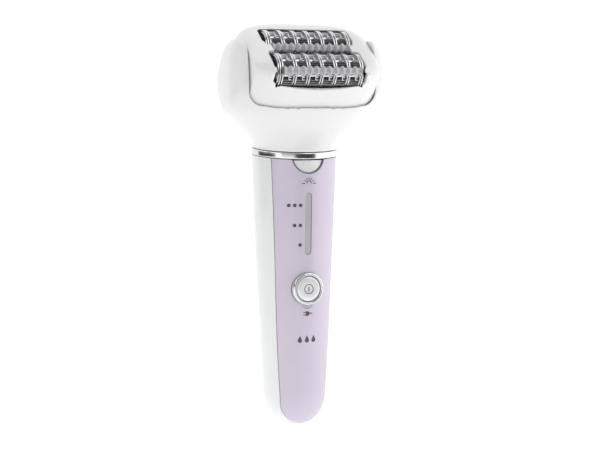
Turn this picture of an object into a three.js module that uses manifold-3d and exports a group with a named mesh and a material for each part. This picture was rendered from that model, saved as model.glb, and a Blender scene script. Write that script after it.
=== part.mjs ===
// Cordless epilator with a tilting two-rotor head, in millimetres, +Z up.
// The handle stands on its end face at the origin; the front, with the button, looks along -Y.
import * as THREE from "three";
import { mergeVertices } from "three/addons/utils/BufferGeometryUtils.js";
import Module from "manifold-3d";

// ---- driving dimensions ----
const GAP = 0.3; // between pieces that meet
const WALL = 1.8; // moulded walls
const HANDLE_TOP = 117.7; // height of the handle's upper rim on its axis
const RING_HEIGHT = 2.6; // chrome ring between handle and neck
const RING_TILT = 0.105; // the ring's plane rises this much for each millimetre of depth
const NECK_HALF_WIDTH = 18.7;
const HEAD_PIVOT = new THREE.Vector3(0, -9.9, 149.4); // where the head tilts, about X
const HEAD_LEAN = 0.6435; // the head's face leans forward by this angle
const ARM_INNER = 28.2; // inner faces of the yoke's arms, from the middle
const ARM_OUTER = 35.2;
const CAP_HALF_WIDTH = 27.6;
const CAP_REACH = 31; // where the cap's end rounding would close
const BARREL_RADIUS = 16.9; // underside of the head, about the pivot
const FACE_HEIGHT = 15.5; // face of the head above the pivot
const ROTOR_SPREAD = 8.0; // rotor axes, each side of the head's middle plane
const ROTOR_HEIGHT = 9.7; // rotor axes above the pivot
const DISC_RADIUS = 7.3;
const DISC_PITCH = 5.86;
const DISC_COUNT = 7;
const DISC_THICKNESS = 1.3;
const TWEEZER_ROWS = 5;
const OPENING_HALF_WIDTH = 20.2; // side edges of the windows in the cap
const PRONG_HALF_WIDTH = 17.3; // tips of the prongs that hold the guard bars
const BUTTON_Z = 62;
const BUTTON_RADIUS = 5.25;
const BEZEL_RADIUS = 6.9;
const LIGHT_BAR_Z = 89.3;
const LIGHT_BAR_LENGTH = 25.9;
const LIGHT_BAR_WIDTH = 2.9;
const LAMP_Z = 117; // centre of the half-round lamp window
const LAMP_RADIUS = 6.8;
const CHARGE_Z = 55.9;
const PIVOT_PIN_RADIUS = 2.4;
const GEAR_MODULE = 0.4;
const MAIN_TEETH = 42;
const PINION_TEETH = 12;
const FEED_TEETH = 10;

// ---- finishes ----
const finish = (color, roughness, metalness) =>
  new THREE.MeshStandardMaterial({ color, roughness, metalness });
const WHITE = finish(0xf4f4f4, 0.3, 0);
const SHELL = finish(0xeef2f0, 0.35, 0);
const LILAC = finish(0xdcd2e0, 0.4, 0.1);
const CHROME = finish(0xd0d4d4, 0.12, 1);
const STEEL = finish(0xb4b4b4, 0.3, 1);
const GREY = finish(0xa6a6a8, 0.4, 0.2);
const LENS = finish(0xc9c6cc, 0.2, 0);
const RUBBER = finish(0x4b4b50, 0.8, 0);
const BOARD = finish(0x2f6b46, 0.5, 0);
const BRASS = finish(0xc4a45a, 0.3, 1);
const NYLON = finish(0xe6e2d8, 0.5, 0);
const CELL = finish(0x3c6ea8, 0.4, 0);
const LAMP_CHIP = finish(0xf3efc8, 0.3, 0);

// ---- solids ----
const wasm = await Module();
wasm.setup();

// A closed three.js geometry as a solid that can be joined and cut.
function solidOf(geometry) {
  geometry.deleteAttribute("normal");
  geometry.deleteAttribute("uv");
  const merged = mergeVertices(geometry, 1e-4);
  return new wasm.Manifold(
    new wasm.Mesh({
      numProp: 3,
      vertProperties: merged.attributes.position.array,
      triVerts: new Uint32Array(merged.index.array),
    }),
  );
}

// Adds a solid to a group as a named mesh.
function addPiece(group, name, solid, material) {
  const made = solid.getMesh();
  const geometry = new THREE.BufferGeometry();
  geometry.setAttribute("position", new THREE.BufferAttribute(made.vertProperties, 3));
  geometry.setIndex(new THREE.BufferAttribute(made.triVerts, 1));
  geometry.computeVertexNormals();
  const mesh = new THREE.Mesh(geometry, material);
  mesh.name = name;
  group.add(mesh);
}

function box(width, depth, height, x, y, z) {
  return solidOf(new THREE.BoxGeometry(width, depth, height).translate(x, y, z));
}

// A round rod along one axis, centred on a point.
function rod(axis, radius, length, x, y, z, sides = 24) {
  const g = new THREE.CylinderGeometry(radius, radius, length, sides);
  if (axis === "x") g.rotateZ(-Math.PI / 2);
  if (axis === "z") g.rotateX(Math.PI / 2);
  return solidOf(g.translate(x, y, z));
}

function washer(axis, outer, inner, length, x, y, z, sides = 24) {
  return rod(axis, outer, length, x, y, z, sides).subtract(rod(axis, inner, length + 1, x, y, z, sides));
}

// A flat outline pushed along +X; the outline's own x and y become Y and Z.
function extrudedAlongX(shape, x0, length, curveSegments = 6) {
  const g = new THREE.ExtrudeGeometry(shape, { depth: length, bevelEnabled: false, curveSegments });
  g.applyMatrix4(new THREE.Matrix4().set(0, 0, 1, x0, 1, 0, 0, 0, 0, 1, 0, 0, 0, 0, 0, 1));
  return solidOf(g);
}

// A flat outline in X and Z pushed along Y from y0 to y1.
function extrudedAlongY(shape, y0, y1, curveSegments = 8) {
  const g = new THREE.ExtrudeGeometry(shape, { depth: y1 - y0, bevelEnabled: false, curveSegments });
  g.applyMatrix4(new THREE.Matrix4().set(1, 0, 0, 0, 0, 0, -1, y1, 0, 1, 0, 0, 0, 0, 0, 1));
  return solidOf(g);
}

// A body whose section changes along its length: place(share of length, angle, share of radius) gives each point.
function lofted(around, along, place) {
  const g = new THREE.CylinderGeometry(1, 1, 1, around, along);
  const p = g.attributes.position;
  const point = new THREE.Vector3();
  for (let i = 0; i < p.count; i++) {
    const radius = Math.hypot(p.getX(i), p.getZ(i));
    place(point, p.getY(i) + 0.5, Math.atan2(p.getX(i), p.getZ(i)), radius);
    p.setXYZ(i, point.x, point.y, point.z);
  }
  return solidOf(g);
}

const mix = (a, b, t) => a + (b - a) * t;
const ease = (t) => t * t * (3 - 2 * t);
const clampedEase = (t) => ease(Math.min(1, Math.max(0, t)));

// Distance to a superellipse with the given half sizes, along a direction.
function superRadius(c, s, halfWidth, halfDepth, power) {
  const sum = Math.pow(Math.abs(c) / halfWidth, power) + Math.pow(Math.abs(s) / halfDepth, power);
  return Math.pow(sum, -1 / power);
}

// A smooth curve through [place, value] pairs.
function along(pairs) {
  return (at) => {
    if (at <= pairs[0][0]) return pairs[0][1];
    for (let i = 1; i < pairs.length; i++) {
      const [x1, v1] = pairs[i];
      if (at > x1) continue;
      const [x0, v0] = pairs[i - 1];
      const before = i > 1 ? (v1 - pairs[i - 2][1]) / (x1 - pairs[i - 2][0]) : (v1 - v0) / (x1 - x0);
      const after =
        i < pairs.length - 1 ? (pairs[i + 1][1] - v0) / (pairs[i + 1][0] - x0) : (v1 - v0) / (x1 - x0);
      const t = (at - x0) / (x1 - x0);
      const h = x1 - x0;
      return (
        v0 * (1 + 2 * t) * (1 - t) ** 2 + h * before * t * (1 - t) ** 2 + v1 * t * t * (3 - 2 * t) -
        h * after * t * t * (1 - t)
      );
    }
    return pairs[pairs.length - 1][1];
  };
}

// ---- handle ----
const END_DOME = 18; // height over which the lower end closes
const END_HALF_WIDTH = 14.5;
const handleHalf = along([
  [END_DOME, END_HALF_WIDTH],
  [40, 15.6],
  [80, 17.3],
  [HANDLE_TOP + 6, 18.8],
]);
const DEPTH_SHARE = 0.86; // depth of the handle against its width

// Half width of the handle at a height: a long taper that closes in a rounded end with a small flat.
function handleWidth(z) {
  if (z >= END_DOME) return handleHalf(z);
  return END_HALF_WIDTH * Math.sqrt(1 - Math.pow((END_DOME - z) / (END_DOME + 0.65), 2.15));
}

// The handle's outside, or its hollow when inset is given.
function handleBody(inset, around, rows, bottom, top) {
  return lofted(around, rows, (point, t, angle, radius) => {
    const z = mix(bottom, top, t * t);
    const half = (handleWidth(Math.max(0, z - inset * 0.9)) - inset) * radius;
    const x = half * Math.sin(angle);
    const y = -half * DEPTH_SHARE * Math.cos(angle);
    point.set(x, y, z + (t === 1 ? RING_TILT * y : 0));
  });
}

const PANEL_BOTTOM = 3.2;
// Half width of the front panel at a height.
const panelHalf = along([
  [14, 10.2],
  [40, 11.7],
  [85, 13.3],
  [HANDLE_TOP, 14.6],
]);

function panelOutline(shrink) {
  const low = PANEL_BOTTOM + shrink;
  const s = new THREE.Shape();
  s.moveTo(panelHalf(120) - shrink, 125);
  for (const z of [85, 50, 24]) s.lineTo(panelHalf(z) - shrink, z);
  const arch = panelHalf(14) - shrink;
  for (let k = 0; k <= 12; k++) {
    const a = (Math.PI * k) / 12;
    s.lineTo(arch * Math.cos(a), 14 - (14 - low) * Math.sin(a));
  }
  for (const z of [24, 50, 85]) s.lineTo(-panelHalf(z) + shrink, z);
  s.lineTo(-panelHalf(120) + shrink, 125);
  return s;
}

const circleShape = (radius, x, z) => {
  const s = new THREE.Shape();
  s.absarc(x, z, radius, 0, 2 * Math.PI, false);
  return s;
};

function pillShape(width, length, z) {
  const s = new THREE.Shape();
  const r = width / 2;
  s.absarc(0, z + length / 2 - r, r, 0, Math.PI, false);
  s.absarc(0, z - length / 2 + r, r, Math.PI, 2 * Math.PI, false);
  return s;
}

function halfRoundShape(radius, z, top) {
  const s = new THREE.Shape();
  s.moveTo(radius, z + top);
  s.absarc(0, z, radius, 0, -Math.PI, true);
  s.lineTo(-radius, z + top);
  return s;
}

const part = new THREE.Group();
const handle = new THREE.Group();
part.add(handle);

const handleOuter = handleBody(0, 40, 20, 0, HANDLE_TOP);
const handleHollow = handleBody(WALL, 24, 12, 2.4, HANDLE_TOP + 1);
const ABOVE = 130; // clear of the handle's top
const panelZone = extrudedAlongY(panelOutline(0), -30, -2);
const panelZoneInner = extrudedAlongY(panelOutline(0.15), -30, -2.2);

const SOCKET_Z = 13;
const socketHole = rod("y", 4.6, 12, 0, 13, SOCKET_Z);
addPiece(
  handle,
  "rear_shell",
  handleOuter.subtract(handleHollow).subtract(panelZone).subtract(socketHole),
  SHELL,
);

const frontHoles = [
  extrudedAlongY(circleShape(BEZEL_RADIUS + 0.15, 0, BUTTON_Z), -30, 0),
  extrudedAlongY(pillShape(LIGHT_BAR_WIDTH + 0.3, LIGHT_BAR_LENGTH + 0.3, LIGHT_BAR_Z), -30, 0),
  extrudedAlongY(halfRoundShape(LAMP_RADIUS + 0.2, LAMP_Z, 10), -30, 0),
  extrudedAlongY(circleShape(2.5, 0, CHARGE_Z), -30, 0),
];
let panel = handleOuter.subtract(handleHollow).intersect(panelZoneInner);
for (const hole of frontHoles) panel = panel.subtract(hole);
addPiece(handle, "front_panel", panel, LILAC);

// Trim set in the panel: each is the panel's own curved shell, cut to an outline and sunk a little.
const sunkShell = handleBody(0.35, 40, 20, 0, HANDLE_TOP).subtract(handleHollow);
const trim = (shape) => extrudedAlongY(shape, -30, 0).intersect(sunkShell);
addPiece(handle, "light_bar", trim(pillShape(LIGHT_BAR_WIDTH - 0.3, LIGHT_BAR_LENGTH - 0.3, LIGHT_BAR_Z)), LENS);
addPiece(
  handle,
  "lamp_lens",
  extrudedAlongY(halfRoundShape(LAMP_RADIUS - 0.1, LAMP_Z, 10), -30, 0)
    .intersect(handleBody(0.8, 40, 20, 0, HANDLE_TOP).subtract(handleBody(2.2, 24, 12, 2.4, HANDLE_TOP + 1)))
    .subtract(box(60, 60, 10, 0, 0, HANDLE_TOP + 3.2)),
  LENS,
);
addPiece(
  handle,
  "charge_lens",
  extrudedAlongY(circleShape(2.2, 0, CHARGE_Z), -30, 0)
    .intersect(sunkShell)
    .subtract(rod("y", BEZEL_RADIUS + 0.3, 60, 0, 0, BUTTON_Z)),
  LENS,
);

// Button: a chrome bezel ring pressed in the panel, a domed cap that slides in it, and a rubber boot.
const panelFront = (z) => -handleWidth(z) * DEPTH_SHARE;
const BUTTON_Y = panelFront(BUTTON_Z);
const turnedToFront = (points, sides) =>
  solidOf(
    new THREE.LatheGeometry(
      points.map(([r, out]) => new THREE.Vector2(r, out)),
      sides,
    )
      .rotateX(Math.PI)
      .translate(0, BUTTON_Y, BUTTON_Z),
  );
addPiece(
  handle,
  "button_bezel",
  turnedToFront(
    [
      [5.5, -2.6],
      [BEZEL_RADIUS, -2.6],
      [BEZEL_RADIUS, 0.7],
      [6.5, 1.4],
      [5.9, 1.4],
      [5.5, 0.9],
      [5.5, -2.6],
    ],
    32,
  ),
  CHROME,
);

const buttonGroup = new THREE.Group();
part.add(buttonGroup);
addPiece(
  buttonGroup,
  "power_button",
  turnedToFront(
    [
      [0, -2.4],
      [BUTTON_RADIUS, -2.4],
      [BUTTON_RADIUS, 0.9],
      [4.6, 1.4],
      [2.5, 1.65],
      [0, 1.7],
    ],
    32,
  ),
  WHITE,
);
addPiece(
  handle,
  "button_boot",
  washer("y", 7.4, 4.2, 0.8, 0, BUTTON_Y + 4.2, BUTTON_Z),
  RUBBER,
);

// ---- inside the handle ----
const BOARD_Y = -6.6;
addPiece(handle, "circuit_board", box(17, 1.2, 86, 0, BOARD_Y, 67), BOARD);
addPiece(handle, "tact_switch", box(6, 2.4, 6, 0, BOARD_Y - 2.1, BUTTON_Z), RUBBER);
addPiece(handle, "lamp_led", box(3.5, 1.6, 2.4, 0, BOARD_Y - 1.7, 109.8), LAMP_CHIP);
for (const [k, offset] of [-8.5, 0, 8.5].entries())
  addPiece(handle, `speed_led_${k + 1}`, box(1.6, 1, 1.2, 0, BOARD_Y - 1.4, LIGHT_BAR_Z + offset), LAMP_CHIP);
addPiece(handle, "charge_led", box(1.6, 1, 1.2, 0, BOARD_Y - 1.4, 53.6), LAMP_CHIP);

const CELL_RADIUS = 7;
const CELL_Y = 2.6;
const CELL_BOTTOM = 30;
const CELL_LENGTH = 50;
const cellMiddle = CELL_BOTTOM + CELL_LENGTH / 2;
addPiece(handle, "battery_cell", rod("z", CELL_RADIUS, CELL_LENGTH, 0, CELL_Y, cellMiddle), CELL);
addPiece(handle, "battery_tab_lower", box(5, 8, 0.4, 0, CELL_Y - 2, CELL_BOTTOM - 0.6), STEEL);
addPiece(handle, "battery_tab_upper", box(5, 8, 0.4, 0, CELL_Y - 2, CELL_BOTTOM + CELL_LENGTH + 0.6), STEEL);
addPiece(
  handle,
  "battery_cradle",
  washer("z", CELL_RADIUS + 1.3, CELL_RADIUS + 0.3, 56, 0, CELL_Y, cellMiddle).subtract(
      box(30, 12, 60, 0, CELL_Y + 11.6, cellMiddle),
    ),
  NYLON,
);

// Charging inlet in the back of the lower end, with two contact pins and a sealing ring.
addPiece(
  handle,
  "charging_socket",
  rod("y", 4.3, 6, 0, 6.6, SOCKET_Z).subtract(box(5.4, 4, 3, 0, 9.0, SOCKET_Z)),
  RUBBER,
);
for (const [name, x] of [
  ["socket_pin_left", -1.3],
  ["socket_pin_right", 1.3],
])
  addPiece(handle, name, rod("y", 0.5, 2, x, 8.4, SOCKET_Z, 12), BRASS);

// ---- neck ----
const neckDepth = NECK_HALF_WIDTH * DEPTH_SHARE;
// An elliptical collar whose faces follow the ring's tilt.
function collar(outer, inner, low, high, sides = 40) {
  const solid = (grow) =>
    lofted(sides, 1, (point, t, angle, radius) => {
      const x = (NECK_HALF_WIDTH + grow) * radius * Math.sin(angle);
      const y = -(neckDepth + grow) * radius * Math.cos(angle);
      const over = grow === inner ? 2 * t - 1 : 0;
      point.set(x, y, mix(low, high, t) + over + RING_TILT * y);
    });
  return inner === null ? solid(outer) : solid(outer).subtract(solid(inner));
}
const RING_LOW = HANDLE_TOP + GAP;
const RING_HIGH = RING_LOW + RING_HEIGHT;
addPiece(handle, "neck_ring", collar(0.15, -2.4, RING_LOW, RING_HIGH), CHROME);
addPiece(handle, "neck_seal", collar(-2.7, -4.2, RING_LOW - 3, RING_HIGH - 0.2, 24), RUBBER);

// ---- yoke ----
const YOKE_LOW = RING_HIGH + GAP;
const YOKE_TOP = 165.3;
const yokeHalf = along([
  [119, NECK_HALF_WIDTH],
  [122, 19.6],
  [125, 22.1],
  [129.5, 27.0],
  [134.8, 31.8],
  [139.8, 34.0],
  [150, ARM_OUTER],
  [158, 34.5],
  [162.5, 32.9],
  [YOKE_TOP, 31.0],
]);
const yokeMiddle = along([
  [119, 0],
  [128, -1.9],
  [138, -6.0],
  [150, -7.6],
  [158, -9.0],
  [YOKE_TOP, -9.3],
]);
const yokeDepth = along([
  [119, neckDepth],
  [128, 15.7],
  [138, 17.05],
  [150, 15.05],
  [158, 12.4],
  [163, 10.8],
  [YOKE_TOP, 8.0],
]);
const yokePower = along([
  [119, 2],
  [128, 2.3],
  [138, 2.8],
  [146, 3.8],
  [YOKE_TOP, 3.6],
]);

function yokeBody(inset, around, rows, low, high) {
  return lofted(around, rows, (point, t, angle, radius) => {
    const z = mix(low, high, t);
    const s = Math.sin(angle);
    const c = -Math.cos(angle);
    const r = superRadius(s, c, yokeHalf(z) - inset, yokeDepth(z) - inset, yokePower(z)) * radius;
    const y = r * c;
    point.set(r * s, yokeMiddle(z) + y, z + RING_TILT * y * (t === 0 ? 1 : 0));
  });
}

// End rounding of the head's barrel and of its face, from the middle out to the ends.
const barrelShare = (x) => Math.pow(1 - Math.pow(Math.abs(x) / CAP_REACH, 3.2), 1 / 3.2);
const faceShare = (x) => Math.pow(1 - Math.pow(Math.abs(x) / CAP_REACH, 6), 1 / 6);

// The barrel turned about the head's pivot, grown by a clearance.
function barrel(grow, halfLength, sides) {
  const stations = 12;
  return lofted(sides, stations, (point, t, angle, radius) => {
    const x = halfLength * Math.sin((t - 0.5) * Math.PI);
    const r = (BARREL_RADIUS * barrelShare(x) + grow) * radius;
    point.set(x, HEAD_PIVOT.y - r * Math.sin(angle), HEAD_PIVOT.z + r * Math.cos(angle));
  });
}

// A U outline: the gap between the arms, with rounded lower corners.
function cradleOutline(bottom, corner) {
  const s = new THREE.Shape();
  s.moveTo(ARM_INNER, 190);
  s.lineTo(-ARM_INNER, 190);
  s.absarc(-ARM_INNER + corner, bottom + corner + 1, corner, Math.PI, 1.5 * Math.PI, false);
  s.lineTo(0, bottom);
  s.absarc(ARM_INNER - corner, bottom + corner + 1, corner, 1.5 * Math.PI, 2 * Math.PI, false);
  return s;
}
const CRADLE_GAP = 0.6;
const FRONT_LIP = 137.4;
const REAR_LIP = 148.2;
const FRONT_CORNER = 6;
const REAR_CORNER = 4;
addPiece(
  handle,
  "yoke",
  yokeBody(0, 40, 18, YOKE_LOW, YOKE_TOP)
    .subtract(barrel(CRADLE_GAP, ARM_INNER, 36))
    .subtract(extrudedAlongY(cradleOutline(FRONT_LIP, FRONT_CORNER), -60, HEAD_PIVOT.y))
    .subtract(extrudedAlongY(cradleOutline(REAR_LIP, REAR_CORNER), HEAD_PIVOT.y - 1, 60))
    .subtract(yokeBody(5, 24, 4, YOKE_LOW - 2, 127))
    .subtract(box(7, 2.4, 20, 0, -3, 128))
    .subtract(rod("x", PIVOT_PIN_RADIUS + 0.1, 63, 0, HEAD_PIVOT.y, HEAD_PIVOT.z)),
  WHITE,
);
for (const [name, side] of [
  ["pivot_pin_left", -1],
  ["pivot_pin_right", 1],
])
  addPiece(
    handle,
    name,
    rod("x", PIVOT_PIN_RADIUS, 5, side * 28.7, HEAD_PIVOT.y, HEAD_PIVOT.z),
    STEEL,
  );
addPiece(handle, "neck_tube", collar(-5.6, -7.2, 112.5, 120.4, 24), NYLON);
addPiece(handle, "head_lead", box(6, 0.8, 16, 0, -3, 122), RUBBER);
for (const [name, z] of [
  ["board_screw_lower", 28],
  ["board_screw_upper", 80],
])
  addPiece(handle, name, rod("y", 1.6, 1, 5.6, BOARD_Y - 1.4, z, 16), STEEL);

// ---- tilting head, in its own frame: X along the rotors, Y to the back, Z out of the face ----
const tilted = (parent) => {
  const group = new THREE.Group();
  group.position.copy(HEAD_PIVOT);
  group.rotation.x = HEAD_LEAN;
  parent.add(group);
  return group;
};
const head = tilted(part);

const FRONT_REACH = 16.5; // front wall of the head from the pivot
const REAR_REACH = 22.2; // rear wall
const BARREL_BLEND = 0.31; // angle below the middle by which the walls have become the barrel

// The head's outside, or its hollow when inset is given.
function headBody(inset, around, stations) {
  return lofted(around, stations, (point, t, angle, radius) => {
    const across = Math.sin((t - 0.5) * Math.PI);
    const x = (CAP_HALF_WIDTH - inset) * across;
    const y = -Math.sin(angle);
    const z = Math.cos(angle);
    const reach = (y < 0 ? FRONT_REACH : REAR_REACH) * barrelShare(x);
    let r = superRadius(y, Math.max(0, z), reach, FACE_HEIGHT * faceShare(x), 6);
    if (z < 0) {
      const side = Math.min(reach / Math.max(Math.abs(y), 0.01), 25);
      r = mix(side, BARREL_RADIUS * barrelShare(x), clampedEase(Math.asin(-z) / BARREL_BLEND));
    }
    r = (r - inset) * radius;
    point.set(x, r * y, r * z);
  });
}

const headShell = headBody(0, 44, 14).subtract(headBody(WALL, 32, 10));
const HEAD_SPLIT = -10.8; // the cap and the base meet here, inside the cradle
const ROTORS = [
  ["rear", ROTOR_SPREAD],
  ["front", -ROTOR_SPREAD],
];
const cutBox = (half, y0, y1, z0, z1) => box(2 * half, y1 - y0, z1 - z0, 0, (y0 + y1) / 2, (z0 + z1) / 2);
const slotShape = new THREE.Shape();
slotShape.moveTo(21.1, 13);
slotShape.lineTo(-21.1, 13);
slotShape.absarc(-18.6, 10.8, 2.5, Math.PI, 1.4 * Math.PI, false);
slotShape.quadraticCurveTo(0, 5, 18.6 + 0.77, 8.42);
slotShape.absarc(18.6, 10.8, 2.5, 1.6 * Math.PI, 2 * Math.PI, false);
let cap = headShell
  .subtract(box(80, 80, 60, 0, 0, HEAD_SPLIT - 30))
  .subtract(cutBox(OPENING_HALF_WIDTH, 4.4, 13.6, 8, 25))
  .subtract(cutBox(PRONG_HALF_WIDTH, -1.9, 4.5, 8, 25))
  .subtract(cutBox(OPENING_HALF_WIDTH, -12.3, -1.8, 8, 25))
  .subtract(cutBox(PRONG_HALF_WIDTH, -24, -12.2, 12, 25))
  .subtract(extrudedAlongY(slotShape, -24, -11))
  .subtract(rod("x", PIVOT_PIN_RADIUS + 0.08, 70, 0, 0, 0));
for (const [, y] of ROTORS) cap = cap.subtract(rod("x", DISC_RADIUS + 0.4, 38.6, 0, y, ROTOR_HEIGHT, 32));
addPiece(head, "head_cap", cap, WHITE);
addPiece(
  head,
  "head_base",
  headShell
    .subtract(box(80, 80, 60, 0, 0, HEAD_SPLIT + 30 - GAP))
    .subtract(box(8, 6, 8, 0, -2, -16)),
  WHITE,
);

// Guard bars: flat strips with wavy edges, which stand upright in front of each rotor.
const GUARD_HALF_LENGTH = 17;
const GUARD_HALF_HEIGHT = 1.7;
const GUARD_WAVE = 0.3;
const GUARD_REACH = 8; // from the rotor's axis to the strip's middle
function guardOutline() {
  const s = new THREE.Shape();
  const waves = 12;
  const steps = waves * 2;
  for (const side of [-1, 1])
    for (let k = 0; k <= steps; k++) {
      const x = side * mix(-GUARD_HALF_LENGTH, GUARD_HALF_LENGTH, k / steps);
      const edge = GUARD_HALF_HEIGHT + GUARD_WAVE * Math.cos((2 * Math.PI * waves * x) / (2 * GUARD_HALF_LENGTH));
      if (k === 0 && side === -1) s.moveTo(x, edge);
      else s.lineTo(x, -side * edge);
    }
  return s;
}
for (const [name, y] of ROTORS) {
  const bar = new THREE.Group();
  bar.position.set(0, y - GUARD_REACH * 0.8, ROTOR_HEIGHT + GUARD_REACH * 0.6);
  bar.rotation.x = -HEAD_LEAN;
  head.add(bar);
  addPiece(bar, `guard_bar_${name}`, extrudedAlongY(guardOutline(), -0.45, 0.35), GREY);
}

// ---- bearing plates, motor and pins ----
const PLATE_X = 19.7;
const PLATE_THICKNESS = 0.8;
const MAIN_RADIUS = (GEAR_MODULE * MAIN_TEETH) / 2;
const PINION_RADIUS = (GEAR_MODULE * PINION_TEETH) / 2;
const FEED_RADIUS = (GEAR_MODULE * FEED_TEETH) / 2;
const MAIN_Z = ROTOR_HEIGHT - Math.sqrt((MAIN_RADIUS + PINION_RADIUS) ** 2 - ROTOR_SPREAD ** 2);
const FEED_Z = MAIN_Z - MAIN_RADIUS - FEED_RADIUS;
const WHEEL_MODULE = 0.3;
const WHEEL_TEETH = 26;
const MOTOR_TEETH = 10;
const MOTOR_REACH = (WHEEL_MODULE * (WHEEL_TEETH + MOTOR_TEETH)) / 2;
const MOTOR_ANGLE = 0.43;
const MOTOR_Y = MOTOR_REACH * Math.cos(MOTOR_ANGLE);
const MOTOR_Z = FEED_Z + MOTOR_REACH * Math.sin(MOTOR_ANGLE);
const MOTOR_RADIUS = 6;
const SHAFT_RADIUS = 1.5;
const SHAFT_END_RADIUS = 0.9;

function plateShape() {
  const s = new THREE.Shape();
  s.absarc(-8.2, 8.2, 4.2, Math.PI, 0.5 * Math.PI, true);
  s.absarc(8.2, 8.2, 4.2, 0.5 * Math.PI, 0, true);
  s.absarc(6.4, -3, 6, 0, -0.5 * Math.PI, true);
  s.absarc(-6.4, -3, 6, -0.5 * Math.PI, -Math.PI, true);
  return s;
}
for (const [name, side] of [
  ["bearing_plate_left", -1],
  ["bearing_plate_right", 1],
]) {
  const x = side * PLATE_X;
  let plate = extrudedAlongX(plateShape(), x - PLATE_THICKNESS / 2, PLATE_THICKNESS, 4);
  for (const [, y] of ROTORS) plate = plate.subtract(rod("x", 2.5, 3, x, y, ROTOR_HEIGHT, 20));
  plate = plate.subtract(rod("x", PIVOT_PIN_RADIUS + 0.4, 3, x, 0, 0, 16));
  if (side > 0) plate = plate.subtract(rod("x", 2.2, 3, x, MOTOR_Y, MOTOR_Z, 16));
  addPiece(head, name, plate, STEEL);
  for (const [rotor, y] of ROTORS)
    addPiece(
      head,
      `${rotor}_bush_${side < 0 ? "left" : "right"}`,
      washer("x", 2.42, SHAFT_RADIUS + 0.1, 1.2, x, y, ROTOR_HEIGHT, 16),
      BRASS,
    );
}
addPiece(
  head,
  "motor",
  rod("x", MOTOR_RADIUS, 24, 6.6, MOTOR_Y, MOTOR_Z, 24).subtract(rod("x", 1, 4, 18, MOTOR_Y, MOTOR_Z, 12)),
  STEEL,
);
addPiece(head, "main_gear_pin", rod("x", 0.8, 4.9, 22.75, 0, MAIN_Z, 12), STEEL);
addPiece(head, "reduction_pin", rod("x", 0.6, 4.9, 22.75, 0, FEED_Z, 12), STEEL);

const springPath = new THREE.CatmullRomCurve3(
  Array.from({ length: 33 }, (_, k) => {
    const a = (k / 8) * 2 * Math.PI;
    return new THREE.Vector3(-24.6 + k * 0.11, 3.4 * Math.cos(a), 3.4 * Math.sin(a));
  }),
);
const wire = circleShape(0.35, 0, 0);
addPiece(
  head,
  "return_spring",
  solidOf(
    new THREE.ExtrudeGeometry(wire, { steps: 40, curveSegments: 3, extrudePath: springPath, bevelEnabled: false }),
  ),
  STEEL,
);

// ---- rotors ----
// A disc with a notch for each row of tweezers.
function discShape() {
  const s = new THREE.Shape();
  const notchHalf = 0.95;
  const floor = 3.7;
  const edgeAngle = Math.asin(notchHalf / DISC_RADIUS);
  for (let k = 0; k < TWEEZER_ROWS; k++) {
    const middle = (2 * Math.PI * k) / TWEEZER_ROWS + Math.PI / 2;
    const next = middle + (2 * Math.PI) / TWEEZER_ROWS;
    const c = Math.cos(middle);
    const n = Math.sin(middle);
    if (k === 0) s.moveTo(floor * c + notchHalf * n, floor * n - notchHalf * c);
    else s.lineTo(floor * c + notchHalf * n, floor * n - notchHalf * c);
    s.lineTo(floor * c - notchHalf * n, floor * n + notchHalf * c);
    for (let j = 0; j <= 3; j++) {
      const a = mix(middle + edgeAngle, next - edgeAngle, j / 3);
      s.lineTo(DISC_RADIUS * Math.cos(a), DISC_RADIUS * Math.sin(a));
    }
  }
  return s;
}

const discX = (k) => (k - (DISC_COUNT - 1) / 2) * DISC_PITCH;
const HUB_RADIUS = 3.2;
function rotorSolid() {
  let solid = rod("x", HUB_RADIUS, 36.9, 0, 0, 0, 15)
    .add(rod("x", SHAFT_RADIUS, 41.9, 0, 0, 0, 12))
    .add(rod("x", SHAFT_END_RADIUS, 6, 22, 0, 0, 12));
  for (let k = 0; k < DISC_COUNT; k++)
    solid = solid.add(extrudedAlongX(discShape(), discX(k) - DISC_THICKNESS / 2, DISC_THICKNESS));
  return solid;
}

// The moving blades of one rotor: five toothed bars joined by a ring, with a tooth at each station.
const BLADE_TIP = 6.9;
const BAR_TOP = 5.6;
const BAR_FLOOR = 4.4;
const BLADE_WIDTH = 0.6;
function tweezerSolid() {
  const s = new THREE.Shape();
  s.moveTo(-18.9, BAR_FLOOR);
  s.lineTo(18, BAR_FLOOR);
  s.lineTo(18, BAR_TOP);
  for (let j = DISC_COUNT - 2; j >= 0; j--) {
    const x = (discX(j) + discX(j + 1)) / 2 + 0.4;
    s.lineTo(x + BLADE_WIDTH / 2, BAR_TOP);
    s.lineTo(x + BLADE_WIDTH / 2, BLADE_TIP);
    s.lineTo(x - BLADE_WIDTH / 2, BLADE_TIP);
    s.lineTo(x - BLADE_WIDTH / 2, BAR_TOP);
  }
  s.lineTo(-18.9, BAR_TOP);
  let solid = washer("x", 6.5, 4.3, 0.4, -18.75, 0, 0, 20);
  for (let k = 0; k < TWEEZER_ROWS; k++) {
    const bar = new THREE.ExtrudeGeometry(s, { depth: 1.4, bevelEnabled: false }).translate(0, 0, -0.7);
    bar.rotateX(Math.PI / 2 + (2 * Math.PI * k) / TWEEZER_ROWS);
    solid = solid.add(solidOf(bar));
  }
  return solid;
}

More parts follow.
